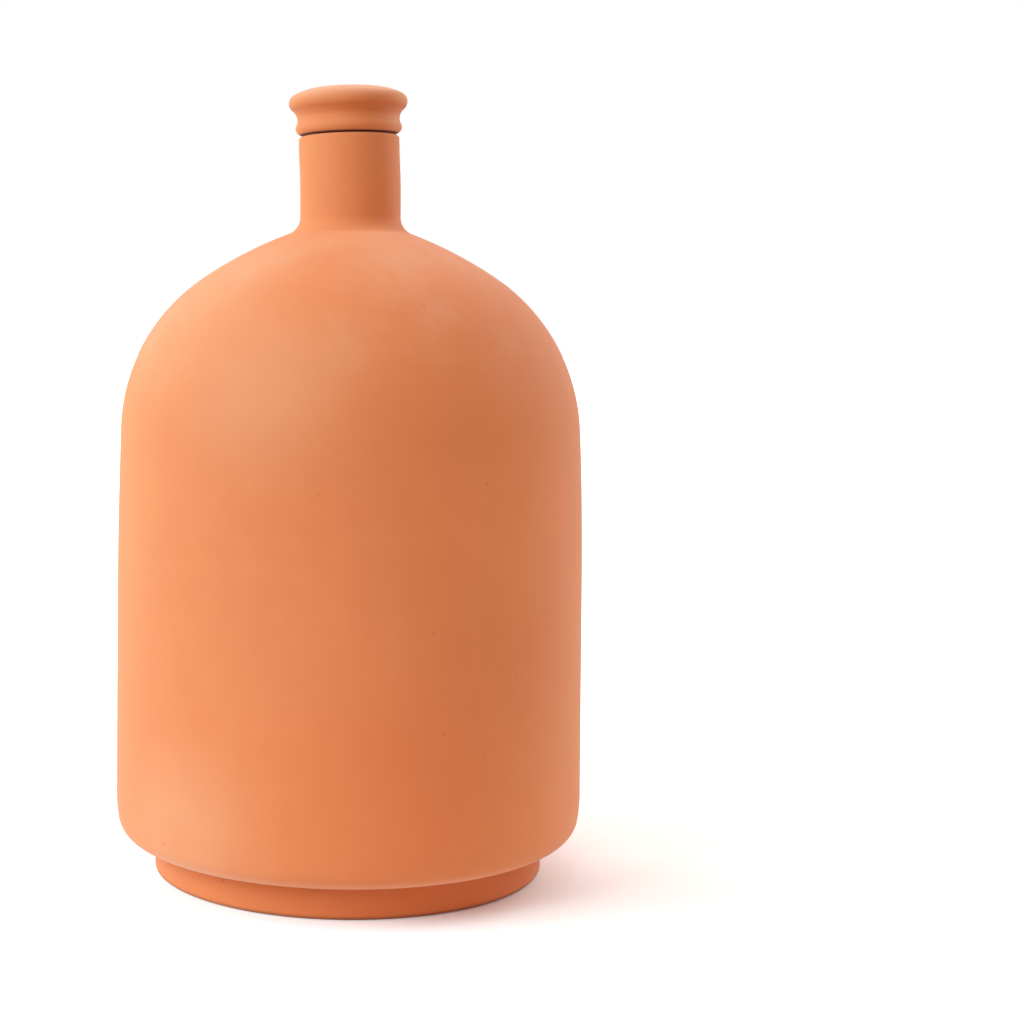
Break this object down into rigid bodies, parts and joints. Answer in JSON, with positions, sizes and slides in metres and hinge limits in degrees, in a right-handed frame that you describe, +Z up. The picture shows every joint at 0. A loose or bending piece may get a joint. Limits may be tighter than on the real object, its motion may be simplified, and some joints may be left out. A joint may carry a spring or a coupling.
{
  "type": "irrigation olla",
  "caption": "Bottle-shaped unglazed terracotta irrigation vessel with a low foot, rounded shoulder, narrow neck and a matching domed stopper.",
  "frame": {"origin": "centre of the foot's resting face, at the bottom of the vessel", "axes": "+Z up along the axis of the bottle, from the foot to the stopper; +X and +Y are any two directions square to it, because the form is round"},
  "size_m": [0.1, 0.1, 0.1669],
  "materials": {
    "terracotta_vessel": "matte unglazed",
    "terracotta_stopper": "matte unglazed"
  },
  "bodies": {
    "root": {"vessel": "terracotta_vessel", "stopper": "terracotta_stopper"}
  },
  "joints": []
}
